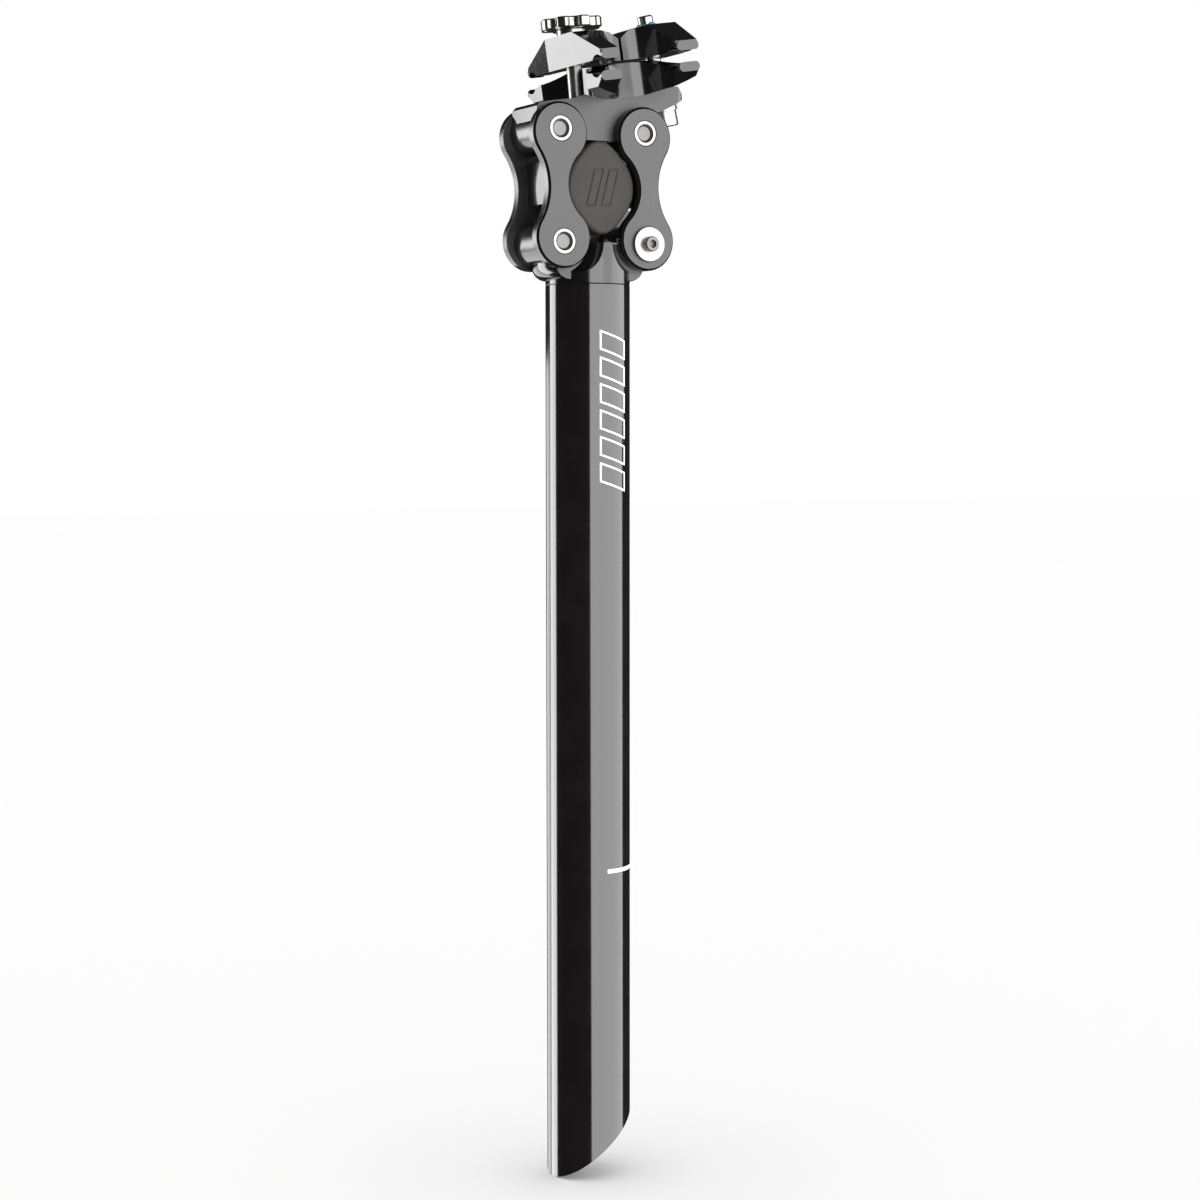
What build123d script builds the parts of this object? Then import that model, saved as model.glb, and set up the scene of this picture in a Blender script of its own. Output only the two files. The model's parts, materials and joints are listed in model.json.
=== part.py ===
"""Parallelogram suspension seatpost with an elastomer spring and a two-bolt saddle clamp.

Frame: +Z up along the post, +X to the rear of the bicycle, origin on the tube's axis at the
minimum-insertion mark. All sizes in millimetres.
"""
import os
from math import cos, pi, radians, sin

from build123d import *

# Post tube
tube_r = 13.6
tube_bore_r = 11.1
joint_z = 188.5            # joint line between the tube and the lower body, above the origin
tube_below_joint = 290.0
scarf_rise = 21.8          # how far the slanted end climbs from the front to the rear
spigot_length = 38.0
bond_gap = 0.05
press_gap = 0.01           # between pressed parts
shank_top_r = 13.4         # the lower body narrows a little upwards from the joint line
joint_chamfer = 0.2

# Parallelogram linkage: pivots given from the joint line
pivot_spacing = 30.4
front_lower_pivot = (-15.0, 12.9)
link_length = 35.1
link_lean = 1.9            # degrees forward of the tube's axis, unloaded
half_width = 8.5           # half the width of the barrels between the link plates
barrel_r = 7.0

# Links
plate_inner = 8.9
plate_outer = 12.5
plate_end_r = 9.6
plate_end_shift = 1.2      # the rounded ends sit this far from the pivots, towards the waist
waist_out = 4.75
waist_in = 2.65
plate_chamfer = 0.7
web_out = 1.5
web_in = 2.55
web_clear_top = 9.5        # radii the web stands clear of the barrels, above and below it
web_clear_low = 12.4

# Axles and bushes
axle_r = 4.1
bush_bore_r = 4.15
bush_r = 5.1
bush_flange_r = 6.4
bush_flange = 0.35
open_pivot_play = 0.1      # radial play at the rear upper pivot, where the loop closes

# Saddle clamp: its own frame is tilted with the rails, w = 0 at the rails' centres
clamp_x = 8.7
clamp_z = 69.2
clamp_tilt = 9.1
rail_r = 3.5
rail_y = 22.0
seat_r = 45.0              # the cradle slides on this arc
seat_centre_w = 35.0
jaw_end = 18.0
jaw_inner = 10.5
jaw_y = 25.0
lip_height = 3.0
lip_centre_w = 3.3
waist_y = 8.0
yoke_top_w = 12.3
yoke_low_w = 2.0

# Front stud and rear bolt, both M5, given by their place and lean in the clamp's frame
thread_r = 2.5
bolt_hole_r = 2.8
front_u = -13.4
rear_u = 16.2
bolt_lean = 3.8
flange_r = 51.6            # underside of the head's rear flange, about the cradle's centre
pocket_r = 49.0            # roof of the anchor's pocket, about the same centre
tilt_travel = 2.9          # slot room each way for the cradle's tilt

# Stud's anchor in its pocket, and the rear flange's slot
anchor_u = -14.35
anchor_half = 3.6
anchor_y = 5.2
slot_u = 14.2              # centre of the slot's round inner end

# Turned parts; places along a bolt count from the rails' level
wheel_r = 10.0
wheel_low = 13.8
wheel_height = 3.4
wheel_lobes = 8
collar_r = 4.75
stud_low = -16.6
stud_high = 16.4
bolt_seat = -15.2
bolt_tip = 15.9
nut_t = 7.0
nut_r = 3.6
nut_y = 6.5

# Elastomer: nearly round, drawn out to its top and bottom ends
elastomer_half_x = 12.0
elastomer_half_z = 14.7
end_sharpness = 8
elastomer_y = 10.5
elastomer_centre = (-0.36, 30.45)

lean = radians(link_lean)
front_upper_pivot = (
    front_lower_pivot[0] - link_length * sin(lean),
    front_lower_pivot[1] + link_length * cos(lean),
)
rear_lower_pivot = (front_lower_pivot[0] + pivot_spacing, front_lower_pivot[1])
rear_upper_pivot = (front_upper_pivot[0] + pivot_spacing, front_upper_pivot[1])
lower_pivots = (front_lower_pivot, rear_lower_pivot)
upper_pivots = (front_upper_pivot, rear_upper_pivot)

tilt = radians(clamp_tilt)
along_rail = (cos(tilt), 0, sin(tilt))
clamp_up = (-sin(tilt), 0, cos(tilt))
clamp_origin = (clamp_x, 0, joint_z + clamp_z)
joint_origin = (0, 0, joint_z)

side = Plane(origin=joint_origin, x_dir=(1, 0, 0), z_dir=(0, -1, 0))
clamp_plan = Plane(origin=clamp_origin, x_dir=along_rail, z_dir=clamp_up)
clamp_side = Plane(origin=clamp_origin, x_dir=along_rail, z_dir=(0, -1, 0))
clamp_front = Plane(origin=clamp_origin, x_dir=(0, 1, 0), z_dir=along_rail)

seat_centre = (clamp_x - seat_centre_w * sin(tilt), clamp_z + seat_centre_w * cos(tilt))


def bolt_plane(u, direction):
    """Plane across a clamp bolt where it crosses the rails' level, its normal up the bolt."""
    origin = clamp_plan.from_local_coords(Vector(u, 0, 0))
    angle = clamp_tilt - direction * bolt_lean
    return Plane(
        origin=origin,
        x_dir=(cos(radians(angle)), 0, sin(radians(angle))),
        z_dir=(-sin(radians(angle)), 0, cos(radians(angle))),
    )


front_bolt = bolt_plane(front_u, 1)
rear_bolt_axis = bolt_plane(rear_u, -1)


def finish(builder, name):
    """Label a finished sub-part and write it."""
    builder.part.label = name
    export_step(builder.part, f"parts/{name}.step")


def make_post_tube():
    tip_z = joint_z - tube_below_joint
    slope = scarf_rise / (2 * tube_r)
    scarf = Plane(origin=(-tube_r, 0, tip_z), x_dir=(0, -1, 0), z_dir=(-slope, 0, 1))
    with BuildPart() as tube:
        with BuildSketch(Plane.XY.offset(tip_z)):
            Circle(tube_r)
            Circle(tube_bore_r, mode=Mode.SUBTRACT)
        extrude(amount=tube_below_joint)
        split(bisect_by=scarf, keep=Keep.TOP)
        chamfer(tube.faces().sort_by(Axis.Z)[-1].outer_wire().edges(), joint_chamfer)
    finish(tube, "post_tube")


def make_lower_body():
    """Spigot, round shank, flared neck and two barrels, relieved outside for the link plates."""
    relief_r = 10.4
    relief_top_r = 15.1
    relief_depth = 7.0
    relief_lift = 0.5
    crown_z = front_lower_pivot[1]
    flare_r = 4.4
    flare_low = 1.4
    flare_foot_r = tube_r - 0.05
    neck_r = flare_foot_r + flare_r
    neck_top = joint_z + 9.0
    arc_low = joint_z + flare_low
    arc_high = arc_low + flare_r
    shoulder = ((-9.0, 1.0), (9.0, 1.0), (19.5, 8.0))
    front_shoulder = (-19.1, 8.0)
    with BuildPart() as shank:
        with BuildSketch(Plane.XZ):
            Polygon(
                (0, joint_z), (tube_r - joint_chamfer, joint_z), (tube_r, joint_z + joint_chamfer),
                (shank_top_r, joint_z + crown_z), (0, joint_z + crown_z), align=None,
            )
        revolve(axis=Axis.Z)
        for face in (-1, 1):
            for x, z in lower_pivots:
                floor_centre = (x, face * half_width, joint_z + z + relief_lift)
                with Locations(Plane(origin=floor_centre, z_dir=(0, face, 0))):
                    Cone(
                        relief_r, relief_top_r, relief_depth,
                        align=(Align.CENTER, Align.CENTER, Align.MIN), mode=Mode.SUBTRACT,
                    )
    with BuildPart() as body:
        with BuildSketch(Plane.XZ):
            with BuildLine():
                Polyline(
                    (flare_foot_r, arc_low), (0, arc_low), (0, neck_top), (neck_r, neck_top),
                    (neck_r, arc_high),
                )
                RadiusArc((neck_r, arc_high), (flare_foot_r, arc_low), flare_r)
            make_face()
        revolve(axis=Axis.Z)
        with BuildSketch(Plane.XY.offset(joint_z)):
            Rectangle(4 * tube_r, 2 * half_width)
        extrude(amount=crown_z, mode=Mode.INTERSECT)
        with BuildSketch(side):
            Polygon(*shoulder, rear_lower_pivot, front_lower_pivot, front_shoulder, align=None)
            for pivot in lower_pivots:
                with Locations(pivot):
                    Circle(barrel_r)
        extrude(amount=half_width, both=True)
        add(shank.part)
        with BuildSketch(Plane.XY.offset(joint_z)):
            Circle(tube_bore_r - bond_gap)
        extrude(amount=-spigot_length)
        with BuildSketch(side):
            for pivot in lower_pivots:
                with Locations(pivot):
                    Circle(bush_r + press_gap)
        extrude(amount=half_width + 1, both=True, mode=Mode.SUBTRACT)
    finish(body, "lower_body")


def make_bushes(name, pivot, bore_r):
    """Two flanged bushes, pressed into one barrel from its two sides."""
    with BuildPart() as bushes:
        for face in (-1, 1):
            seat = Plane(origin=(pivot[0], face * half_width, joint_z + pivot[1]), z_dir=(0, face, 0))
            with BuildSketch(seat):
                Circle(bush_flange_r)
                Circle(bore_r, mode=Mode.SUBTRACT)
            extrude(amount=bush_flange)
            with BuildSketch(seat):
                Circle(bush_r)
                Circle(bore_r, mode=Mode.SUBTRACT)
            extrude(amount=-(half_width - 1.0))
    finish(bushes, name)


def make_link(name, lower, facing):
    """Two waisted plates joined by a web. facing is +1 where the waist's deep side faces +X."""
    middle = link_length / 2
    end = middle - plate_end_shift
    tilt_x = (cos(lean), 0, sin(lean))
    centre = (
        lower[0] - middle * sin(lean),
        joint_z + lower[1] + middle * cos(lean),
    )
    plane = Plane(origin=(centre[0], 0, centre[1]), x_dir=tilt_x, z_dir=(0, -1, 0))

    def waist_radius(offset):
        return (offset**2 + end**2 - plate_end_r**2) / (2 * (plate_end_r - offset))

    in_r = waist_radius(waist_in)
    out_r = waist_radius(waist_out)
    in_x = facing * (waist_in + in_r)
    out_x = -facing * (waist_out + out_r)

    def tangent(arc_x, arc_r):
        share = plate_end_r / (plate_end_r + arc_r)
        return arc_x * share, end - end * share

    in_px, in_pz = tangent(in_x, in_r)
    out_px, out_pz = tangent(out_x, out_r)
    with BuildPart() as link:
        for face in (-1, 1):
            with BuildSketch(plane.offset(face * (plate_inner + plate_outer) / 2)):
                Polygon(
                    (out_px, out_pz), (in_px, in_pz), (in_px, -in_pz), (out_px, -out_pz),
                    align=None,
                )
                with Locations((0, end), (0, -end)):
                    Circle(plate_end_r)
                with Locations((in_x, 0)):
                    Circle(in_r, mode=Mode.SUBTRACT)
                with Locations((out_x, 0)):
                    Circle(out_r, mode=Mode.SUBTRACT)
            extrude(amount=(plate_outer - plate_inner) / 2, both=True)
        outer_faces = link.faces().filter_by(Axis.Y).group_by(Axis.Y)
        rims = outer_faces[0].edges() + outer_faces[-1].edges()
        chamfer(rims, plate_chamfer)
        with BuildSketch(plane):
            with Locations((facing * (web_in - web_out) / 2, 0)):
                Rectangle(web_in + web_out, link_length)
            with Locations((0, middle)):
                Circle(web_clear_top, mode=Mode.SUBTRACT)
            with Locations((0, -middle)):
                Circle(web_clear_low, mode=Mode.SUBTRACT)
        extrude(amount=plate_inner, both=True)
        with BuildSketch(plane):
            with Locations((0, middle), (0, -middle)):
                Circle(axle_r + press_gap)
        extrude(amount=plate_outer + 1, both=True, mode=Mode.SUBTRACT)
    finish(link, name)


def make_axle(name, pivot):
    """A riveted axle, flush with the plates, its ends dished."""
    dish_r = 3.0
    dish_depth = 0.8
    with BuildPart() as axle:
        with BuildSketch(side):
            with Locations(pivot):
                Circle(axle_r)
        extrude(amount=plate_outer, both=True)
        chamfer(axle.edges().filter_by(GeomType.CIRCLE), 0.25)
        for face in (-1, 1):
            dish = Plane(origin=(pivot[0], face * plate_outer, joint_z + pivot[1]), z_dir=(0, face, 0))
            with BuildSketch(dish):
                Circle(dish_r)
            extrude(amount=-dish_depth, taper=45, mode=Mode.SUBTRACT)
    finish(axle, name)


def make_removable_axle():
    """Headed axle at the rear lower pivot, closed by a washer and a small socket screw."""
    head_r = 5.65
    head_height = 1.0
    x, z = rear_lower_pivot
    near = Plane(origin=(x, -plate_outer, joint_z + z), z_dir=(0, -1, 0))
    far = Plane(origin=(x, plate_outer, joint_z + z), z_dir=(0, 1, 0))
    screw_shank_r = 1.5
    screw_head_r = 2.45
    screw_head_height = 2.0
    hex_across = 2.5
    with BuildPart() as axle:
        with BuildSketch(near):
            Circle(axle_r)
        extrude(amount=-2 * plate_outer)
        with BuildSketch(far):
            Circle(head_r)
        extrude(amount=head_height)
        chamfer(axle.faces().sort_by(Axis.Y)[-1].edges(), 0.3)
        with BuildSketch(near):
            Circle(screw_shank_r + 0.02)
        extrude(amount=-12, mode=Mode.SUBTRACT)
    finish(axle, "rear_lower_axle")

    with BuildPart() as washer:
        with BuildSketch(near):
            Circle(head_r)
            Circle(screw_shank_r + 0.05, mode=Mode.SUBTRACT)
        extrude(amount=head_height)
        chamfer(washer.faces().sort_by(Axis.Y)[0].outer_wire().edges(), 0.25)
    finish(washer, "rear_axle_washer")

    seat = near.offset(head_height)
    with BuildPart() as screw:
        with BuildSketch(seat):
            Circle(screw_head_r)
        extrude(amount=screw_head_height)
        chamfer(screw.faces().sort_by(Axis.Y)[0].edges(), 0.3)
        with BuildSketch(seat):
            Circle(screw_shank_r)
        extrude(amount=-11)
        with BuildSketch(seat.offset(screw_head_height)):
            RegularPolygon(hex_across / 2, 6, major_radius=False)
        extrude(amount=-1.4, mode=Mode.SUBTRACT)
    finish(screw, "rear_axle_screw")


def make_head():
    """The upper body: two barrels, the cradle's seat and the rear flange, all in one."""
    floor_z = 45.3
    front_x = -22.6
    rear_x = 31.5
    rear_corner_r = 3.0
    flange_root_x = 21.2
    with BuildPart() as head:
        with BuildSketch(side):
            Polygon(
                (front_x, 48.0), (front_x, 55.0), (-21.4, 56.2), (-15.8, 57.2), (-9.0, 58.2),
                (-4.0, 60.2), (20.5, 63.5), (28.6, 64.2), (30.6, 62.0), (rear_x, 58.6),
                (rear_x, 50.0), (14.3, floor_z), (-16.0, floor_z), align=None,
            )
            for pivot in upper_pivots:
                with Locations(pivot):
                    Circle(barrel_r)
        extrude(amount=half_width, both=True)
        with BuildSketch(side):
            with Locations((flange_root_x + 10.0, 52.0)):
                Rectangle(20.0, 20.0)
            with Locations(seat_centre):
                Circle(flange_r, mode=Mode.SUBTRACT)
        extrude(amount=half_width + 1, both=True, mode=Mode.SUBTRACT)
        with BuildSketch(side):
            with Locations(seat_centre):
                Circle(seat_r + bond_gap)
        extrude(amount=half_width + 1, both=True, mode=Mode.SUBTRACT)
        with BuildSketch(Plane.XY.offset(joint_z)):
            with Locations((rear_x - 40.0, 0)):
                RectangleRounded(80.0, 2 * half_width, rear_corner_r)
        extrude(amount=80.0, mode=Mode.INTERSECT)
        with BuildSketch(clamp_side):
            with Locations((anchor_u, -19.0)):
                Rectangle(2 * (anchor_half + tilt_travel), 24.0)
            with Locations((0, seat_centre_w)):
                Circle(pocket_r, mode=Mode.SUBTRACT)
        extrude(amount=anchor_y + 0.3, both=True, mode=Mode.SUBTRACT)
        with BuildSketch(clamp_plan.offset(-17.0)):
            with Locations((anchor_u, 0)):
                SlotOverall(2 * (bolt_hole_r + tilt_travel), 2 * bolt_hole_r)
        extrude(amount=12.0, mode=Mode.SUBTRACT)
        with BuildSketch(clamp_plan.offset(-20.0)):
            with Locations((slot_u, 0)):
                Circle(bolt_hole_r)
            with Locations((slot_u + 8.0, 0)):
                Rectangle(16.0, 2 * bolt_hole_r)
        extrude(amount=16.0, mode=Mode.SUBTRACT)
        with BuildSketch(side):
            for pivot in upper_pivots:
                with Locations(pivot):
                    Circle(bush_r + press_gap)
        extrude(amount=half_width + 1, both=True, mode=Mode.SUBTRACT)
    finish(head, "head")


def rail_lips(level, lip_start, lip_end):
    """A pair of rounded pads where one jaw's outer faces grip the rails."""
    lip_inner_y = 19.0
    with BuildPart() as pads:
        for face in (-1, 1):
            with BuildSketch(clamp_side.offset(face * lip_inner_y)):
                with Locations(((lip_start + lip_end) / 2, level)):
                    RectangleRounded(abs(lip_end - lip_start), lip_height, lip_height / 2 - 0.05)
            extrude(amount=face * (jaw_y - lip_inner_y))
    return pads.part


def rails():
    """The two rails' own space, taken out of every jaw."""
    with BuildPart() as bars:
        with BuildSketch(clamp_front.offset(-30.0)):
            with Locations((rail_y, 0), (-rail_y, 0)):
                Circle(rail_r)
        extrude(amount=60.0)
    return bars.part


def make_cradle():
    """Lower half of the saddle clamp: four arms on an arc-bottomed block."""
    top_w = 1.1
    low_w = -10.0
    recess_r = 17.5
    recess_floor = 9.4
    arm_y = 24.2
    with BuildPart() as cradle:
        with BuildSketch(clamp_plan.offset(low_w - 1)):
            Rectangle(2 * jaw_end, 2 * arm_y)
            flare_length = 40.0
            with Locations((0, waist_y + flare_length / 2), (0, -waist_y - flare_length / 2)):
                RectangleRounded(2 * jaw_inner, flare_length, 9.0, mode=Mode.SUBTRACT)
            with Locations((recess_floor + recess_r, 0), (-recess_floor - recess_r, 0)):
                Circle(recess_r, mode=Mode.SUBTRACT)
        extrude(amount=top_w - low_w + 1)
        with BuildSketch(clamp_side):
            with Locations((0, (top_w + low_w - 1) / 2)):
                Rectangle(2 * jaw_end, top_w - low_w + 1)
            with Locations((0, seat_centre_w)):
                Circle(seat_r, mode=Mode.INTERSECT)
        extrude(amount=jaw_y + 1, both=True, mode=Mode.INTERSECT)
        with BuildSketch(clamp_front):
            Polygon(
                (-arm_y, -4.3), (-arm_y, -1.9), (-18.0, -1.9), (-14.5, -1.2), (-waist_y, top_w),
                (waist_y, top_w), (14.5, -1.2), (18.0, -1.9), (arm_y, -1.9), (arm_y, -4.3),
                (17.5, low_w), (-17.5, low_w), align=None,
            )
        extrude(amount=jaw_end + 1, both=True, mode=Mode.INTERSECT)
        for end in (-1, 1):
            add(rail_lips(-lip_centre_w, end * jaw_inner, end * jaw_end))
        add(rails(), mode=Mode.SUBTRACT)
    finish(cradle, "cradle")


def make_yoke(name, end, end_centre, end_lip, bolt, nut_level=None):
    """Upper jaw bar over both rails. end is -1 at the front and +1 at the rear."""
    gap = 0.5
    shoulder_y = 9.0
    arm_y = 24.2
    with BuildPart() as yoke:
        with BuildSketch(clamp_plan):
            Polygon(
                (end * gap, -jaw_y), (end * end_lip, -arm_y), (end * end_centre, -shoulder_y),
                (end * end_centre, shoulder_y), (end * end_lip, arm_y), (end * gap, jaw_y),
                align=None,
            )
            flare_length = 40.0
            with Locations((0, waist_y + flare_length / 2), (0, -waist_y - flare_length / 2)):
                RectangleRounded(2 * jaw_inner, flare_length, 9.0, mode=Mode.SUBTRACT)
        extrude(amount=yoke_top_w + 1)
        with BuildSketch(clamp_side):
            Polygon(
                (end * gap, yoke_low_w), (end * (end_centre + 1), yoke_low_w),
                (end * (end_centre + 1), yoke_top_w), (end * 10.0, yoke_top_w),
                (end * 3.5, yoke_top_w - 1.2), (end * gap, yoke_top_w - 3.4), align=None,
            )
        extrude(amount=jaw_y + 1, both=True, mode=Mode.INTERSECT)
        with BuildSketch(clamp_front):
            Polygon(
                (-arm_y, yoke_low_w), (-arm_y, 5.0), (-shoulder_y, yoke_top_w),
                (shoulder_y, yoke_top_w), (arm_y, 5.0), (arm_y, yoke_low_w), align=None,
            )
        extrude(amount=jaw_y + 1, both=True, mode=Mode.INTERSECT)
        add(rail_lips(lip_centre_w, end * jaw_inner, end * end_lip))
        add(rails(), mode=Mode.SUBTRACT)
        with BuildSketch(bolt.offset(-2.0)):
            Circle(bolt_hole_r)
        extrude(amount=yoke_top_w + 6.0, mode=Mode.SUBTRACT)
        if nut_level is not None:
            nut = bolt.offset(nut_level)
            cross = Plane(origin=nut.origin, x_dir=nut.x_dir, z_dir=(0, -1, 0))
            with BuildSketch(cross):
                Circle(nut_r + 0.05)
                with Locations((0, -5.0)):
                    Rectangle(2 * (nut_r + 0.05), 10.0)
            extrude(amount=nut_y + 0.1, both=True, mode=Mode.SUBTRACT)
    finish(yoke, name)


def make_front_stud():
    """Threaded stud, from the anchor under the seat up into the thumbwheel."""
    with BuildPart() as stud:
        with BuildSketch(front_bolt.offset(stud_low)):
            Circle(thread_r)
        extrude(amount=stud_high - stud_low)
        chamfer(stud.edges().filter_by(GeomType.CIRCLE), 0.4)
    finish(stud, "front_stud")


def make_stud_anchor():
    """Curved T-nut that holds the stud and slides under the pocket's roof."""
    with BuildPart() as anchor:
        with BuildSketch(clamp_side):
            with Locations((anchor_u, -15.0)):
                Rectangle(2 * anchor_half, 14.0)
            with Locations((0, seat_centre_w)):
                Circle(pocket_r + 4.6, mode=Mode.INTERSECT)
                Circle(pocket_r + 0.05, mode=Mode.SUBTRACT)
        extrude(amount=anchor_y, both=True)
        with BuildSketch(front_bolt.offset(-25.0)):
            Circle(thread_r + 0.02)
        extrude(amount=30.0, mode=Mode.SUBTRACT)
    finish(anchor, "stud_anchor")


def make_thumbwheel_washer():
    """Collar between the thumbwheel and the front yoke, its foot cut to the yoke's top."""
    foot = clamp_plan.offset(yoke_top_w + 0.02)
    with BuildPart() as washer:
        with BuildSketch(front_bolt.offset(yoke_top_w - 2.0)):
            Circle(collar_r)
            Circle(thread_r + 0.15, mode=Mode.SUBTRACT)
        extrude(amount=wheel_low - 0.03 - (yoke_top_w - 2.0))
        split(bisect_by=foot, keep=Keep.TOP)
        chamfer(washer.faces().sort_by(Axis.Z)[-1].outer_wire().edges(), 0.2)
    finish(washer, "thumbwheel_washer")


def make_thumbwheel():
    """Scalloped nut that sets the saddle's tilt by hand."""
    scallop_r = 2.0
    with BuildPart() as wheel:
        with BuildSketch(front_bolt.offset(wheel_low)) as outline:
            Circle(wheel_r)
            with PolarLocations(wheel_r + 0.1, wheel_lobes, start_angle=180 / wheel_lobes):
                Circle(scallop_r, mode=Mode.SUBTRACT)
            fillet(outline.vertices(), 1.1)
        extrude(amount=wheel_height)
        rims = wheel.faces().sort_by(Axis.Z)
        chamfer(rims[0].edges() + rims[-1].edges(), 0.4)
        with BuildSketch(front_bolt.offset(wheel_low)):
            Circle(thread_r + 0.05)
        extrude(amount=stud_high - wheel_low + 0.1, mode=Mode.SUBTRACT)
    finish(wheel, "thumbwheel")


def make_rear_bolt():
    """Socket-head screw that closes the clamp from below the flange."""
    head_r = 4.25
    head_height = 5.0
    hex_across = 4.0
    with BuildPart() as bolt:
        with BuildSketch(rear_bolt_axis.offset(bolt_seat)):
            Circle(head_r)
        extrude(amount=-head_height)
        low = bolt.faces().sort_by(Axis.Z)[0]
        chamfer(low.edges(), 0.4)
        with BuildSketch(rear_bolt_axis.offset(bolt_seat)):
            Circle(thread_r)
        extrude(amount=bolt_tip - bolt_seat)
        chamfer(bolt.faces().sort_by(Axis.Z)[-1].edges(), 0.5)
        with BuildSketch(rear_bolt_axis.offset(bolt_seat - head_height)):
            RegularPolygon(hex_across / 2, 6, major_radius=False)
        extrude(amount=2.6, mode=Mode.SUBTRACT)
    finish(bolt, "rear_bolt")


def make_rear_bolt_washer():
    """Washer whose top follows the flange's arc and whose foot is square to the bolt."""
    with BuildPart() as washer:
        with BuildSketch(rear_bolt_axis.offset(bolt_seat + 0.03)):
            Circle(collar_r)
            Circle(thread_r + 0.1, mode=Mode.SUBTRACT)
        extrude(amount=5.0)
        with BuildSketch(clamp_side):
            with Locations((0, seat_centre_w)):
                Circle(flange_r + 0.05)
        extrude(amount=2 * collar_r, both=True, mode=Mode.SUBTRACT)
    finish(washer, "rear_bolt_washer")


def make_rear_barrel_nut():
    """Cross nut inside the rear yoke."""
    nut = rear_bolt_axis.offset(nut_t)
    cross = Plane(origin=nut.origin, x_dir=nut.x_dir, z_dir=(0, -1, 0))
    with BuildPart() as barrel:
        with BuildSketch(cross):
            Circle(nut_r)
        extrude(amount=nut_y, both=True)
        with BuildSketch(nut.offset(-6.0)):
            Circle(thread_r + 0.05)
        extrude(amount=12.0, mode=Mode.SUBTRACT)
    finish(barrel, "rear_barrel_nut")


def make_elastomer():
    """Oval rubber block held between the two links, its shoulders clear of the link plates."""
    steps = 48
    outline = []
    for step in range(steps):
        angle = 2 * pi * step / steps
        draw = (elastomer_half_z - elastomer_half_x) * abs(sin(angle)) ** end_sharpness
        reach = elastomer_half_x + draw
        outline.append((reach * cos(angle), reach * sin(angle)))
    centre = (elastomer_centre[0], 0, joint_z + elastomer_centre[1])
    leaning = Plane(origin=centre, x_dir=(cos(lean), 0, sin(lean)), z_dir=(0, -1, 0))
    with BuildPart() as block:
        with BuildSketch(leaning):
            with BuildLine():
                Spline(*outline, periodic=True)
            make_face()
        extrude(amount=elastomer_y, both=True)
        fillet(block.edges(), 1.2)
    finish(block, "elastomer")


if __name__ == "__main__":
    os.makedirs("parts", exist_ok=True)
    make_post_tube()
    make_lower_body()
    make_bushes("front_lower_bushes", front_lower_pivot, bush_bore_r)
    make_bushes("rear_lower_bushes", rear_lower_pivot, bush_bore_r)
    make_bushes("front_upper_bushes", front_upper_pivot, bush_bore_r)
    make_bushes("rear_upper_bushes", rear_upper_pivot, axle_r + open_pivot_play)
    make_link("front_link", front_lower_pivot, 1)
    make_link("rear_link", rear_lower_pivot, -1)
    make_axle("front_lower_axle", front_lower_pivot)
    make_axle("front_upper_axle", front_upper_pivot)
    make_axle("rear_upper_axle", rear_upper_pivot)
    make_removable_axle()
    make_head()
    make_cradle()
    make_yoke("front_yoke", -1, 17.7, 17.0, front_bolt)
    make_yoke("rear_yoke", 1, 20.8, 18.5, rear_bolt_axis, nut_t)
    make_front_stud()
    make_stud_anchor()
    make_thumbwheel_washer()
    make_thumbwheel()
    make_rear_bolt()
    make_rear_bolt_washer()
    make_rear_barrel_nut()
    make_elastomer()
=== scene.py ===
"""Looks for the suspension seatpost: black anodised alloy, plain steel hardware and a rubber spring."""

import json
from math import cos, pi, radians, sin, sqrt

import bpy
from mathutils import Matrix, Vector


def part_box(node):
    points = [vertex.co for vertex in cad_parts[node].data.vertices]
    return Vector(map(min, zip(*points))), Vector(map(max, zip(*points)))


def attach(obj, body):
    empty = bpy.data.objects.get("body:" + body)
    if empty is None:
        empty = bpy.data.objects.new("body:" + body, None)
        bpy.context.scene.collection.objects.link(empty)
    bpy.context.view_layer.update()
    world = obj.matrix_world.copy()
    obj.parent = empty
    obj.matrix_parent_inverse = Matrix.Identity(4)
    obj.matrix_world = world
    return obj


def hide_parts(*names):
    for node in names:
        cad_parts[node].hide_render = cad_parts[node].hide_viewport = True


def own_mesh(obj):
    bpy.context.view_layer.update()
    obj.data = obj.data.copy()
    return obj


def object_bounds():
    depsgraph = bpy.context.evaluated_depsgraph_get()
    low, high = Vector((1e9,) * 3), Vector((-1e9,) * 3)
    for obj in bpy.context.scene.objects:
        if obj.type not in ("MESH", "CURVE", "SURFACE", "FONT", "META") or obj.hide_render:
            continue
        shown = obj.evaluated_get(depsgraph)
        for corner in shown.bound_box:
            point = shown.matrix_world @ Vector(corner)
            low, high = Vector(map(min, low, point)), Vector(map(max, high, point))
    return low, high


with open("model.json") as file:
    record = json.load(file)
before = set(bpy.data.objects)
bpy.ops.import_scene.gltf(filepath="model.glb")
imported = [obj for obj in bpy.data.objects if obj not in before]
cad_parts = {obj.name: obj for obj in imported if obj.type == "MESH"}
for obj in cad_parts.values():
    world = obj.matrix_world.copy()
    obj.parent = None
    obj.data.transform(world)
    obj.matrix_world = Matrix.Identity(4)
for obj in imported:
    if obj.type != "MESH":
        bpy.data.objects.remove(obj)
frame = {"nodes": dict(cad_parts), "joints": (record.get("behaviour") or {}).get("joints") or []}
cad_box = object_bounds()

MM = 0.001
nodes = frame["nodes"]
joints = {joint["name"]: joint for joint in frame["joints"]}

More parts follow.
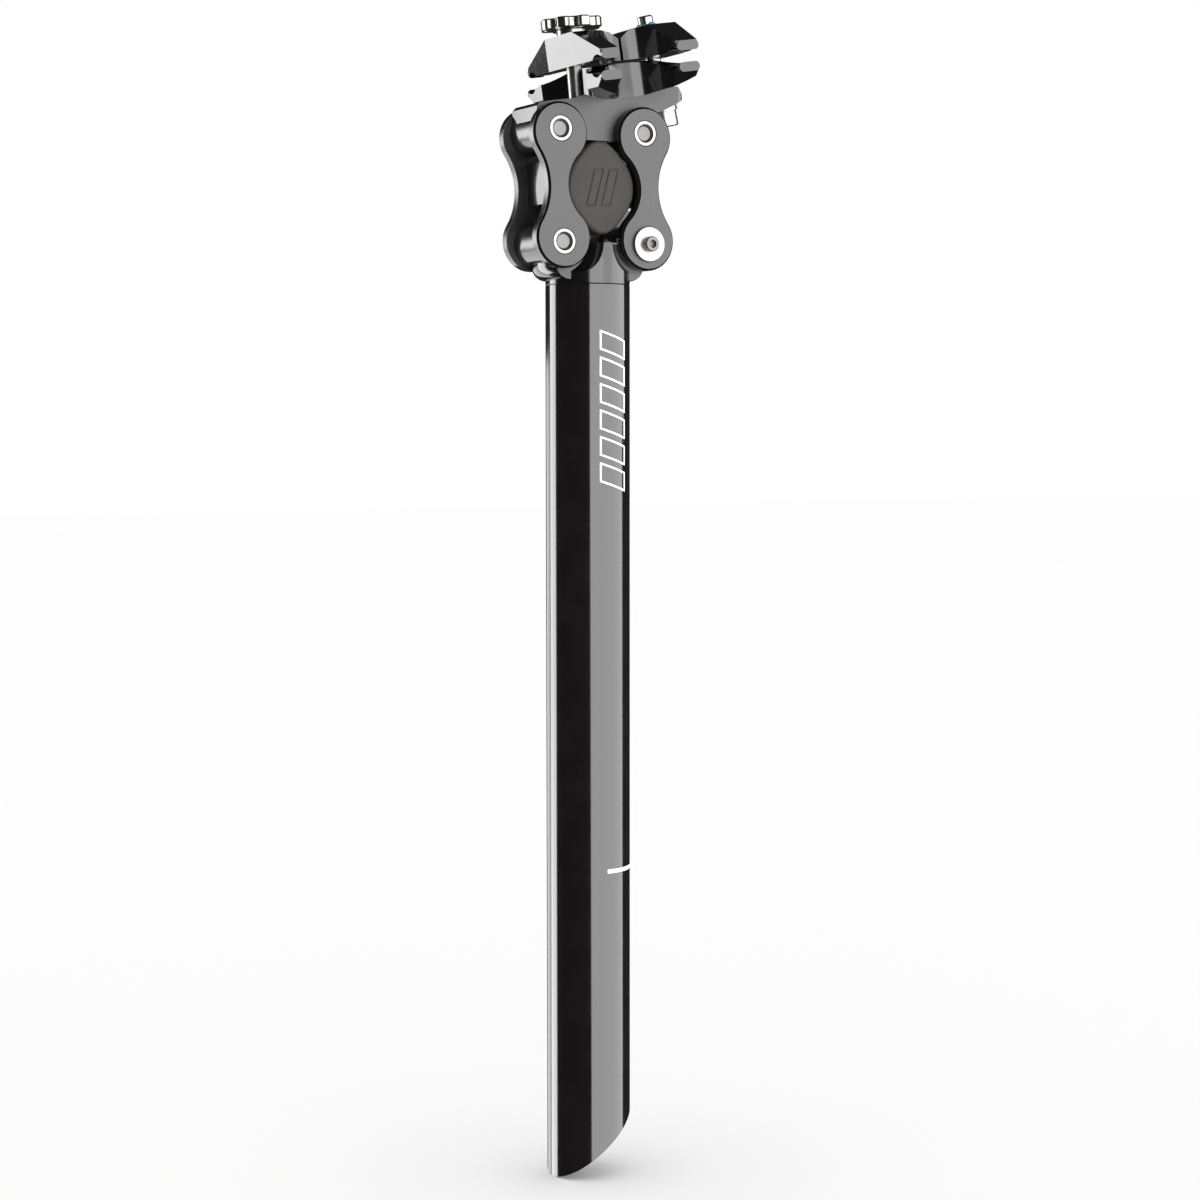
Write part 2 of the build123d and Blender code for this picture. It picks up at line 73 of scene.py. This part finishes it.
FRONT_LOWER = Vector(joints["front_link_pivot"]["pos_m"])
REAR_LOWER = Vector(joints["rear_link_pivot"]["pos_m"])
FRONT_UPPER = Vector(joints["head_pivot"]["pos_m"])
REAR_UPPER = FRONT_UPPER + REAR_LOWER - FRONT_LOWER
WHEEL_AXIS_POINT = Vector(joints["thumbwheel_turn"]["pos_m"])
WHEEL_AXIS = Vector(joints["thumbwheel_turn"]["axis"])
BOLT_POINT = Vector(joints["rear_bolt_turn"]["pos_m"])
BOLT_AXIS = Vector(joints["rear_bolt_turn"]["axis"])
ACROSS = Vector((0, 1, 0))

STEEL = (0.36, 0.345, 0.33)
TUBE_BLACK = (0.0035, 0.003, 0.003)
ALLOY_BLACK = (0.0025, 0.0023, 0.0025)
BARE_METAL = (0.32, 0.31, 0.30)
PAINT_WHITE = (0.86, 0.86, 0.85)
DISH_R = 0.003                   # the shallow dish in the end of an axle
SCREW_DISH_R = 0.0026


# Materials -----------------------------------------------------------------------------------

class Shader:
    """A Principled material and short calls for the nodes that feed it."""

    def __init__(self, name, color, metallic=0.0, roughness=0.5, specular=0.5):
        self.material = bpy.data.materials.new(name)
        self.material.use_nodes = True
        self.tree = self.material.node_tree
        self.surface = self.tree.nodes["Principled BSDF"]
        self.color = color
        self.roughness = roughness
        self.surface.inputs["Base Color"].default_value = (*color, 1.0)
        self.surface.inputs["Metallic"].default_value = metallic
        self.surface.inputs["Roughness"].default_value = roughness
        self.surface.inputs["Specular IOR Level"].default_value = specular
        self.place = self.node("ShaderNodeTexCoord").outputs["Object"]
        self.color_now = None
        self.rough_now = None
        self.normal_now = None

    def node(self, kind, **settings):
        made = self.tree.nodes.new(kind)
        for key, value in settings.items():
            setattr(made, key, value)
        return made

    def link(self, source, socket):
        self.tree.links.new(source, socket)

    def feed(self, socket, value):
        """Sets a socket to a plain value, or links a node's output to it."""
        if isinstance(value, (int, float, tuple, list, Vector)):
            socket.default_value = value
        else:
            self.link(value, socket)

    def math(self, operation, first, second=0.0, third=0.0):
        made = self.node("ShaderNodeMath", operation=operation)
        for socket, value in zip(made.inputs, (first, second, third)):
            self.feed(socket, value)
        return made.outputs[0]

    def vector(self, operation, first, second):
        made = self.node("ShaderNodeVectorMath", operation=operation)
        self.feed(made.inputs[0], first)
        self.feed(made.inputs[1], second)
        return made

    def remap(self, value, low, high, to_low=0.0, to_high=1.0):
        made = self.node("ShaderNodeMapRange", interpolation_type="SMOOTHSTEP")
        self.feed(made.inputs["Value"], value)
        made.inputs["From Min"].default_value = low
        made.inputs["From Max"].default_value = high
        made.inputs["To Min"].default_value = to_low
        made.inputs["To Max"].default_value = to_high
        return made.outputs[0]

    def noise(self, scale, detail=3.0, stretch=(1.0, 1.0, 1.0)):
        """Noise over the object; scale counts features in a metre, roughly."""
        placed = self.vector("MULTIPLY", self.place, stretch).outputs[0]
        made = self.node("ShaderNodeTexNoise")
        self.link(placed, made.inputs["Vector"])
        made.inputs["Scale"].default_value = scale
        made.inputs["Detail"].default_value = detail
        return made.outputs["Fac"]

    def tint(self, mask, color):
        """Mixes the colour so far towards another where the mask is 1."""
        mix = self.node("ShaderNodeMix", data_type="RGBA")
        self.feed(mix.inputs["Factor"], mask)
        before = self.color_now
        if before is None:
            mix.inputs[6].default_value = (*self.color, 1.0)
        else:
            self.link(before, mix.inputs[6])
        mix.inputs[7].default_value = (*color, 1.0)
        self.color_now = mix.outputs[2]

    def roughen(self, mask, roughness):
        """Mixes the roughness so far towards another where the mask is 1."""
        mix = self.node("ShaderNodeMix", data_type="FLOAT")
        self.feed(mix.inputs[0], mask)
        self.feed(mix.inputs[2], self.roughness if self.rough_now is None else self.rough_now)
        mix.inputs[3].default_value = roughness
        self.rough_now = mix.outputs[0]

    def bump(self, height, distance, strength=1.0):
        made = self.node("ShaderNodeBump")
        made.inputs["Strength"].default_value = strength
        made.inputs["Distance"].default_value = distance
        self.link(height, made.inputs["Height"])
        if self.normal_now is not None:
            self.link(self.normal_now, made.inputs["Normal"])
        self.normal_now = made.outputs[0]

    def edge_mask(self, radius, low=0.02, high=0.2):
        """1 on outside edges and corners, 0 on open faces."""
        rounded = self.node("ShaderNodeBevel", samples=4)
        rounded.inputs["Radius"].default_value = radius
        plain = self.node("ShaderNodeNewGeometry").outputs["Normal"]
        same = self.vector("DOT_PRODUCT", rounded.outputs[0], plain).outputs["Value"]
        return self.remap(self.math("SUBTRACT", 1.0, same), low, high)

    def done(self):
        for value, socket in (
            (self.color_now, "Base Color"), (self.rough_now, "Roughness"), (self.normal_now, "Normal"),
        ):
            if value is not None:
                self.link(value, self.surface.inputs[socket])
        return self.material


def black_alloy(name, color, roughness, side_roughness, grain, wear=0.1, painted=None):
    """Anodised alloy: glossy, with satin machined sides, faint handling marks and rubbed edges.

    The grain is the height of the bumps in metres. painted() gives 1 where there is white paint.
    """
    shader = Shader(name, color, roughness=roughness, specular=1.0)
    cloud = shader.noise(70.0, 4.0)
    shader.tint(shader.remap(cloud, 0.35, 0.75), tuple(1.5 * c for c in color))
    shader.roughen(shader.remap(cloud, 0.3, 0.7), roughness * 1.25)
    normal = shader.node("ShaderNodeNewGeometry").outputs["Normal"]
    facing = shader.vector("DOT_PRODUCT", normal, ACROSS).outputs["Value"]
    sides = shader.remap(shader.math("ABSOLUTE", facing), 0.985, 0.998)
    shader.roughen(sides, side_roughness)
    marks = shader.noise(420.0, 2.0, (1.0, 1.0, 0.06))
    shader.roughen(shader.remap(marks, 0.66, 0.74, 0.0, 0.35), min(1.0, roughness + 0.18))
    coarser_sides = shader.math("MULTIPLY_ADD", sides, 4.0, 1.0)
    speckle = shader.math("MULTIPLY", shader.noise(5200.0, 2.0), coarser_sides)
    shader.bump(speckle, grain)
    chips = shader.remap(shader.noise(900.0, 3.0), 0.5, 0.8)
    rubbed = shader.math("MULTIPLY", shader.edge_mask(0.00035), chips)
    shader.tint(shader.math("MULTIPLY", rubbed, wear), BARE_METAL)
    if painted is not None:
        paint = painted(shader)
        shader.tint(paint, PAINT_WHITE)
        shader.roughen(paint, 0.38)
    return shader.done()


def turned_steel(name, point, axis, roughness=0.2, pitch=0.00028, dish=0.0):
    """Steel turned on a lathe: rings about an axis, uneven gloss, and rougher inside the dish, where
    painted shade darkens the colour.
    """
    shader = Shader(name, STEEL, metallic=1.0, roughness=roughness)
    from_point = shader.vector("SUBTRACT", shader.place, tuple(point)).outputs[0]
    along = shader.vector("DOT_PRODUCT", from_point, tuple(axis)).outputs["Value"]
    reach = shader.vector("LENGTH", from_point, (0, 0, 0)).outputs["Value"]
    squared = shader.math(
        "SUBTRACT", shader.math("POWER", reach, 2.0), shader.math("POWER", along, 2.0),
    )
    radius = shader.math("SQRT", shader.math("MAXIMUM", squared, 0.0))
    both = shader.math("ADD", radius, along)
    wobble = shader.math("MULTIPLY", shader.noise(260.0, 2.0), 0.0002)
    phase = shader.math("MULTIPLY", shader.math("ADD", both, wobble), 2 * pi / pitch)
    rings = shader.math("MULTIPLY_ADD", shader.math("SINE", phase), 0.5, 0.5)
    shader.bump(rings, 0.000006, 0.6)
    shader.roughen(shader.remap(rings, 0.2, 1.0, 0.0, 0.6), roughness + 0.12)
    smears = shader.noise(330.0, 4.0)
    shader.roughen(shader.remap(smears, 0.5, 0.8, 0.0, 0.7), roughness + 0.2)
    shader.tint(shader.remap(smears, 0.55, 0.85, 0.0, 0.5), tuple(0.72 * c for c in STEEL))
    if dish:
        soft_rim = 0.00025
        inside = shader.remap(radius, dish - soft_rim, dish, 1.0, 0.0)
        # Painted shade: the steel inside the dish is darkened in colour to stand in for the shade in
        # the recess; the dish is also made rougher.
        shader.tint(inside, tuple(0.5 * c for c in STEEL))
        shader.roughen(inside, 0.48)
    return shader.done()


def rubber(name):
    """Moulded rubber: matte, mottled, with dust in the grooves."""
    shader = Shader(name, (0.025, 0.0235, 0.0225), roughness=0.72, specular=0.35)
    mottle = shader.noise(140.0, 5.0)
    shader.tint(shader.remap(mottle, 0.3, 0.75), (0.036, 0.034, 0.0325))
    shader.roughen(shader.remap(mottle, 0.4, 0.7), 0.85)
    dust = shader.noise(1500.0, 2.0)
    shader.tint(shader.remap(dust, 0.68, 0.8, 0.0, 0.35), (0.13, 0.12, 0.11))
    shader.bump(shader.noise(3200.0, 3.0), 0.00003)
    return shader.done()


def nylon(name):
    """Dark moulded bushes with a soft sheen."""
    shader = Shader(name, (0.05, 0.05, 0.052), roughness=0.42)
    shader.roughen(shader.remap(shader.noise(300.0, 3.0), 0.35, 0.7), 0.55)
    shader.bump(shader.noise(2600.0, 2.0), 0.00001)
    return shader.done()


def thread_lock(name):
    """Dried blue thread-locking compound."""
    shader = Shader(name, (0.01, 0.17, 0.22), roughness=0.45)
    shader.tint(shader.remap(shader.noise(1100.0, 3.0), 0.4, 0.7), (0.02, 0.26, 0.32))
    shader.bump(shader.noise(1800.0, 3.0), 0.00008)
    return shader.done()


# Painted marks on the tube -------------------------------------------------------------------

# Millimetres; heights count from the minimum-insertion mark.
BAND_ANGLE = radians(-80.0)      # middle of the row of bars, round the tube from +X
BAND_LOW = 124.0
BAND_HIGH = 174.0
BAND_HALF = 5.2                  # half the row's width
BAR_PITCH = 8.4
BAR_LENGTH = 6.2
BAR_SLANT = 0.32
LINE = 0.55                      # width of the bars' outline
INSERTION_HALF = 0.62            # half the width of the insertion line
INSERTION_FRONT = -0.2           # the line covers the tube behind this x
TUBE_R = 13.6
BORE_SIDE_R = 13.5               # nothing is painted nearer the axis than this


def tube_paint(shader):
    """The insertion line on the rear half, and a plain row of slanted outlined bars."""
    parts = shader.node("ShaderNodeSeparateXYZ")
    shader.link(shader.place, parts.inputs[0])
    x, y, z = parts.outputs
    level = shader.math("MULTIPLY", z, 1000.0)
    on_line = shader.math("LESS_THAN", shader.math("ABSOLUTE", level), INSERTION_HALF)
    behind = shader.math("GREATER_THAN", x, INSERTION_FRONT * MM)
    outside = shader.math(
        "GREATER_THAN",
        shader.math("ADD", shader.math("POWER", x, 2.0), shader.math("POWER", y, 2.0)),
        (BORE_SIDE_R * MM) ** 2,
    )
    insertion = shader.math("MULTIPLY", shader.math("MULTIPLY", on_line, behind), outside)

    angle = shader.math("ARCTAN2", y, x)
    round_arc = shader.math("MULTIPLY", shader.math("SUBTRACT", angle, BAND_ANGLE), TUBE_R)
    slanted = shader.math("MULTIPLY_ADD", round_arc, BAR_SLANT, level)
    step = shader.math("DIVIDE", shader.math("SUBTRACT", slanted, BAND_LOW), BAR_PITCH)
    inside_bar = shader.math("MULTIPLY", shader.math("FRACT", step), BAR_PITCH)
    half_length = BAR_LENGTH / 2
    along = shader.math("ABSOLUTE", shader.math("SUBTRACT", inside_bar, half_length))
    across = shader.math("ABSOLUTE", round_arc)
    filled = shader.math(
        "MULTIPLY",
        shader.math("LESS_THAN", along, half_length), shader.math("LESS_THAN", across, BAND_HALF),
    )
    hollow = shader.math(
        "MULTIPLY",
        shader.math("LESS_THAN", along, half_length - LINE),
        shader.math("LESS_THAN", across, BAND_HALF - LINE),
    )
    outline = shader.math("SUBTRACT", filled, hollow)
    above = shader.math("GREATER_THAN", slanted, BAND_LOW)
    below = shader.math("LESS_THAN", slanted, BAND_HIGH)
    in_row = shader.math("MULTIPLY", above, below)
    bars = shader.math("MULTIPLY", shader.math("MULTIPLY", outline, outside), in_row)
    return shader.math("MAXIMUM", insertion, bars)


tube_finish = black_alloy("tube_black", TUBE_BLACK, 0.09, 0.09, 0.0000006, 0.03, tube_paint)
body_finish = black_alloy("body_black", ALLOY_BLACK, 0.13, 0.5, 0.0000015)
link_finish = black_alloy("link_black", ALLOY_BLACK, 0.15, 0.5, 0.0000015)
clamp_finish = black_alloy("clamp_black", ALLOY_BLACK, 0.11, 0.42, 0.000001)

FINISH = {
    "post_tube": tube_finish,
    "lower_body": body_finish,
    "head": body_finish,
    "front_link": link_finish,
    "rear_link": link_finish,
    "cradle": clamp_finish,
    "front_yoke": clamp_finish,
    "rear_yoke": clamp_finish,
    "front_lower_axle": turned_steel("steel_front_lower", FRONT_LOWER, ACROSS, dish=DISH_R),
    "front_upper_axle": turned_steel("steel_front_upper", FRONT_UPPER, ACROSS, dish=DISH_R),
    "rear_upper_axle": turned_steel("steel_rear_upper", REAR_UPPER, ACROSS, dish=DISH_R),
    "rear_lower_axle": turned_steel("steel_rear_lower", REAR_LOWER, ACROSS),
    "rear_axle_washer": turned_steel("steel_axle_washer", REAR_LOWER, ACROSS, 0.26, 0.0004),
    "rear_axle_screw": turned_steel("steel_axle_screw", REAR_LOWER, ACROSS, 0.2, dish=SCREW_DISH_R),
    "front_stud": turned_steel("steel_stud", WHEEL_AXIS_POINT, WHEEL_AXIS, 0.32),
    "thumbwheel_washer": turned_steel("steel_collar", WHEEL_AXIS_POINT, WHEEL_AXIS, 0.2),
    "thumbwheel": turned_steel("steel_wheel", WHEEL_AXIS_POINT, WHEEL_AXIS, 0.2, 0.00035),
    "stud_anchor": turned_steel("steel_anchor", WHEEL_AXIS_POINT, WHEEL_AXIS, 0.3),
    "rear_bolt": turned_steel("steel_bolt", BOLT_POINT, BOLT_AXIS, 0.18),
    "rear_bolt_washer": turned_steel("steel_bolt_washer", BOLT_POINT, BOLT_AXIS, 0.22),
    "rear_barrel_nut": turned_steel("steel_barrel_nut", BOLT_POINT, BOLT_AXIS, 0.3),
}
bush_finish = nylon("bush_nylon")
for name in ("front_lower_bushes", "rear_lower_bushes", "front_upper_bushes", "rear_upper_bushes"):
    FINISH[name] = bush_finish

# Width of the rounding on a node's sharp edges, in metres.
EDGE_ROUND = {
    "cradle": 0.00035, "front_yoke": 0.0004, "rear_yoke": 0.0004,
    "head": 0.0003, "lower_body": 0.0003,
    "front_link": 0.00015, "rear_link": 0.00015,
    "thumbwheel": 0.00012, "rear_bolt": 0.0001,
}
WELD_REACH = 0.000002
FLAT_ANGLE = radians(0.4)        # faces closer than this in angle become one
EDGE_ANGLE = radians(32)         # edges sharper than this are rounded
CREASE_ANGLE = radians(1.2)      # CAD faces that meet at more than this keep their border
SPOTS_PER_METRE = 1e6            # vertices that fall on one spot are taken as one


def mark_creases(mesh):
    """Marks the borders between CAD faces that meet at an angle, from the mesh's own normals."""
    corners = [Vector(c.vector) for c in mesh.corner_normals]
    spots = [tuple(round(v * SPOTS_PER_METRE) for v in vertex.co) for vertex in mesh.vertices]
    meetings = {}
    for polygon in mesh.polygons:
        loops = list(polygon.loop_indices)
        for here, after in zip(loops, loops[1:] + loops[:1]):
            first, second = mesh.loops[here], mesh.loops[after]
            key = frozenset((spots[first.vertex_index], spots[second.vertex_index]))
            normal = (corners[here] + corners[after]).normalized()
            meetings.setdefault(key, []).append((first.edge_index, normal))
    sharp = [False] * len(mesh.edges)
    for found in meetings.values():
        if len(found) > 1 and found[0][1].angle(found[1][1], 0.0) > CREASE_ANGLE:
            for edge, _ in found:
                sharp[edge] = True
    layer = mesh.attributes.get("sharp_edge")
    if layer is None:
        layer = mesh.attributes.new("sharp_edge", "BOOLEAN", "EDGE")
    layer.data.foreach_set("value", sharp)


def soften(piece, width):
    """Rounds the CAD model's sharp edges a little, so that they catch the light."""
    weld = piece.modifiers.new("weld", "WELD")
    weld.merge_threshold = WELD_REACH
    flat = piece.modifiers.new("flat", "DECIMATE")
    flat.decimate_type = "DISSOLVE"
    flat.angle_limit = FLAT_ANGLE
    edge = piece.modifiers.new("edge", "BEVEL")
    edge.width = width
    edge.segments = 2
    edge.limit_method = "ANGLE"
    edge.angle_limit = EDGE_ANGLE
    edge.harden_normals = True


for name, finish in FINISH.items():
    piece = nodes[name]
    piece.data.materials.clear()
    piece.data.materials.append(finish)
    if name in EDGE_ROUND:
        mark_creases(piece.data)
        if "custom_normal" in piece.data.attributes:
            piece.data.attributes.remove(piece.data.attributes["custom_normal"])
        for polygon in piece.data.polygons:
            polygon.use_smooth = True
        soften(piece, EDGE_ROUND[name])


# Pieces --------------------------------------------------------------------------------------

def mesh_piece(name, points, faces, material, body):
    """A smooth-shaded mesh that rides on a body."""
    mesh = bpy.data.meshes.new(name)
    mesh.from_pydata([tuple(p) for p in points], [], faces)
    mesh.materials.append(material)
    for polygon in mesh.polygons:
        polygon.use_smooth = True
    mesh.validate()
    piece = bpy.data.objects.new(name, mesh)
    bpy.context.scene.collection.objects.link(piece)
    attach(piece, body)
    return piece


def segment_distance(px, pz, ax, az, bx, bz):
    """How far the point p is from the line between a and b."""
    dx, dz = bx - ax, bz - az
    t = max(0.0, min(1.0, ((px - ax) * dx + (pz - az) * dz) / (dx * dx + dz * dz)))
    return sqrt((px - ax - t * dx) ** 2 + (pz - az - t * dz) ** 2)


def emblem_outlines():
    """Two slanted outlined bars, a plain moulded mark; millimetres from the block's centre."""
    outlines = []
    half_height, half_bar, slant = 5.6, 1.55, 0.3
    for middle in (-2.7, 2.7):
        square = ((-1, -1), (1, -1), (1, 1), (-1, 1))
        outlines.append([
            (middle + side * half_bar + slant * (end * half_height), end * half_height)
            for side, end in square
        ])
    return outlines


def elastomer_piece():
    """The rubber spring: an oval block with rolled rims, a slight crown and a moulded mark."""
    low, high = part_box("elastomer")
    centre = (low + high) / 2
    half_y = (high.y - low.y) / 2 / MM - 0.02
    half_x, half_z, sharpness = 11.95, 14.65, 8
    lean = radians(1.9)
    turns, rings, rim_steps, side_steps = 256, 56, 7, 6
    rim, crown, side_hollow = 1.3, 0.25, 0.12
    groove_depth, groove_half = 0.42, 0.3
    mark_reach = 8
    outlines = emblem_outlines()
    angles = [2 * pi * (k + 0.5) / turns for k in range(turns)]

    def outline(angle, shrink):
        reach = half_x + (half_z - half_x) * abs(sin(angle)) ** sharpness - shrink
        return reach * cos(angle), reach * sin(angle)

    def groove(x, z):
        nearest = 9.0
        for corners in outlines:
            for first, second in zip(corners, corners[1:] + corners[:1]):
                nearest = min(nearest, segment_distance(x, z, *first, *second))
        if nearest > groove_half:
            return 0.0
        return groove_depth * (0.5 + 0.5 * cos(pi * nearest / groove_half))

    def place(x, y, z):
        turned_x = x * cos(lean) - z * sin(lean)
        turned_z = x * sin(lean) + z * cos(lean)
        return Vector((centre.x + turned_x * MM, y * MM, centre.z + turned_z * MM))

    points, faces, borders = [], [], []
    for face in (-1, 1):
        hub = len(points)
        first = hub + 1
        points.append(place(0, face * half_y, 0))
        for ring in range(1, rings + 1):
            share = ring / rings
            for angle in angles:
                x, z = outline(angle, rim)
                x, z = x * share, z * share
                dent = groove(x, z) if abs(x) < mark_reach and abs(z) < mark_reach else 0.0
                points.append(place(x, face * (half_y - crown * share**3 - dent), z))
        for k in range(turns):
            tri = (hub, first + k, first + (k + 1) % turns)
            faces.append(tri if face < 0 else tri[::-1])
        for ring in range(rings - 1):
            a = first + ring * turns
            for k in range(turns):
                n = (k + 1) % turns
                quad = (a + k, a + turns + k, a + turns + n, a + n)
                faces.append(quad if face < 0 else quad[::-1])
        borders.append(first + (rings - 1) * turns)

    # The rim and the side, from one face to the other: how far in from the outline, and y.
    profile = []
    for step in range(1, rim_steps + 1):
        bend = pi / 2 * step / rim_steps
        profile.append((rim * (1 - sin(bend)), -(half_y - crown) + rim * (1 - cos(bend))))
    side_low = profile[-1][1]
    for step in range(1, side_steps):
        across = side_low * (1 - 2 * step / side_steps)
        profile.append((side_hollow * sin(pi * step / side_steps), across))
    for shrink, y in profile[:rim_steps][::-1]:
        profile.append((shrink, -y))
    rows = []
    for shrink, y in profile:
        rows.append(len(points))
        for angle in angles:
            x, z = outline(angle, shrink)
            points.append(place(x, y, z))
    chain = [borders[0]] + rows + [borders[1]]
    for a, b in zip(chain, chain[1:]):
        for k in range(turns):
            n = (k + 1) % turns
            faces.append((a + k, b + k, b + n, a + n))
    return mesh_piece("elastomer_block", points, faces, rubber("spring_rubber"), "elastomer")


def compound_ring(name, level, radius, height, body, seed):
    """A small uneven bead of thread-lock round the rear bolt, in millimetres along its axis."""
    side_x = BOLT_AXIS.cross(ACROSS).normalized()
    origin = BOLT_POINT + BOLT_AXIS * level * MM
    turns, rows, thickness = 36, 7, 0.55
    points, faces = [], []
    for k in range(turns):
        angle = 2 * pi * k / turns
        swell = 1.0 + 0.22 * sin(3 * angle + seed) + 0.13 * sin(7 * angle + 2 * seed)
        for row in range(rows):
            bend = pi * row / (rows - 1)
            out = radius + (thickness * swell) * sin(bend)
            up = height * swell * (1 - cos(bend)) / 2
            outwards = side_x * cos(angle) + ACROSS * sin(angle)
            points.append(origin + BOLT_AXIS * up * MM + outwards * out * MM)
    for k in range(turns):
        n = (k + 1) % turns
        for row in range(rows):
            m = (row + 1) % rows
            faces.append((k * rows + row, n * rows + row, n * rows + m, k * rows + m))
    return mesh_piece(name, points, faces, compound, body)


block = elastomer_piece()
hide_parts("elastomer")
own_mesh(block)
compound = thread_lock("thread_lock")
compound_ring("thread_lock_upper", 12.2, 2.62, 1.1, "rear_yoke", 0.4)


# Studio --------------------------------------------------------------------------------------

FLOOR_GAP = 0.0001
FLOOR_HALF = 6.0
PANEL_DISTANCE = 1.3
MIRRORED_WORLD = 0.03            # how bright the world is in reflections, where 1 is its light

floor_z = cad_box[0][2] - FLOOR_GAP
floor_corners = [
    (side * FLOOR_HALF, end * FLOOR_HALF, floor_z)
    for side, end in ((-1, -1), (1, -1), (1, 1), (-1, 1))
]
floor_mesh = bpy.data.meshes.new("floor")
floor_mesh.from_pydata(floor_corners, [], [(0, 1, 2, 3)])
floor = bpy.data.objects.new("floor", floor_mesh)
bpy.context.scene.collection.objects.link(floor)
paper = Shader("studio_paper", (0.985, 0.985, 0.985), roughness=0.9, specular=0.0)
paper.tint(paper.remap(paper.noise(3.0, 2.0), 0.3, 0.7), (0.99, 0.99, 0.988))
floor_mesh.materials.append(paper.done())
floor.visible_glossy = False
floor.visible_shadow = False

# The world alone lights the floor, so it stays evenly pale.
lamps_skip = bpy.data.collections.new("lamps_skip")
lamps_skip.objects.link(floor)
lamps_skip.collection_objects[0].light_linking.link_state = "EXCLUDE"

# The world lights the object evenly, but glossy surfaces mirror it as almost black.
world = bpy.data.worlds.new("studio")
bpy.context.scene.world = world
world.use_nodes = True
tree = world.node_tree
background = tree.nodes["Background"]
background.inputs["Color"].default_value = (1.0, 1.0, 1.0, 1.0)
path = tree.nodes.new("ShaderNodeLightPath")
dim = tree.nodes.new("ShaderNodeMath")
dim.operation = "MULTIPLY_ADD"
dim.inputs[1].default_value = MIRRORED_WORLD - 1.0
dim.inputs[2].default_value = 1.0
tree.links.new(path.outputs["Is Glossy Ray"], dim.inputs[0])
tree.links.new(dim.outputs[0], background.inputs["Strength"])

TOWARDS_CAMERA = Vector((-0.4820, -0.8733, 0.0))
CAMERA_RIGHT = Vector((0.8755, -0.4832, 0.0))
AIM = Vector((0.0, 0.0, 0.09))


def softbox(name, bearing, width, low, high, radiance):
    """A panel facing the object, with its bearing in degrees to the camera's right."""
    turn = radians(bearing)
    spot = AIM + (TOWARDS_CAMERA * cos(turn) + CAMERA_RIGHT * sin(turn)) * PANEL_DISTANCE
    spot.z = (low + high) / 2
    data = bpy.data.lights.new(name, "AREA")
    data.shape = "RECTANGLE"
    data.size = width
    data.size_y = high - low
    data.energy = radiance * pi * width * (high - low)
    lamp = bpy.data.objects.new(name, data)
    lamp.location = spot
    outwards = Vector((spot.x - AIM.x, spot.y - AIM.y, 0.0))
    lamp.rotation_euler = outwards.to_track_quat("Z", "Y").to_euler()
    lamp.visible_camera = False
    lamp.light_linking.receiver_collection = lamps_skip
    bpy.context.scene.collection.objects.link(lamp)


softbox("right_panel", 57, 3.2, -1.0, 1.2, 3.6)
softbox("left_panel", -111, 0.6, -1.0, 1.2, 5.8)
softbox("left_edge_panel", -141, 0.66, -1.0, 0.2, 2.2)
softbox("right_edge_panel", 113, 0.22, 0.15, 1.2, 3.4)

# The camera stands where the photograph was taken from.
camera_data = bpy.data.cameras.new("camera")
camera_data.lens = 73.57
camera_data.sensor_width = 36.0
camera = bpy.data.objects.new("camera", camera_data)
bpy.context.scene.collection.objects.link(camera)
forward = Vector((0.48195061, 0.87333491, -0.07077953))
right = Vector((0.87549747, -0.48322176, -0.00095928))
up = right.cross(forward)
camera.matrix_world = Matrix((
    (right.x, up.x, -forward.x, -0.380667),
    (right.y, up.y, -forward.y, -0.697916),
    (right.z, up.z, -forward.z, 0.143395),
    (0.0, 0.0, 0.0, 1.0),
))
bpy.context.scene.camera = camera
bpy.context.scene.view_settings.view_transform = "Standard"
bpy.context.scene.view_settings.look = "None"
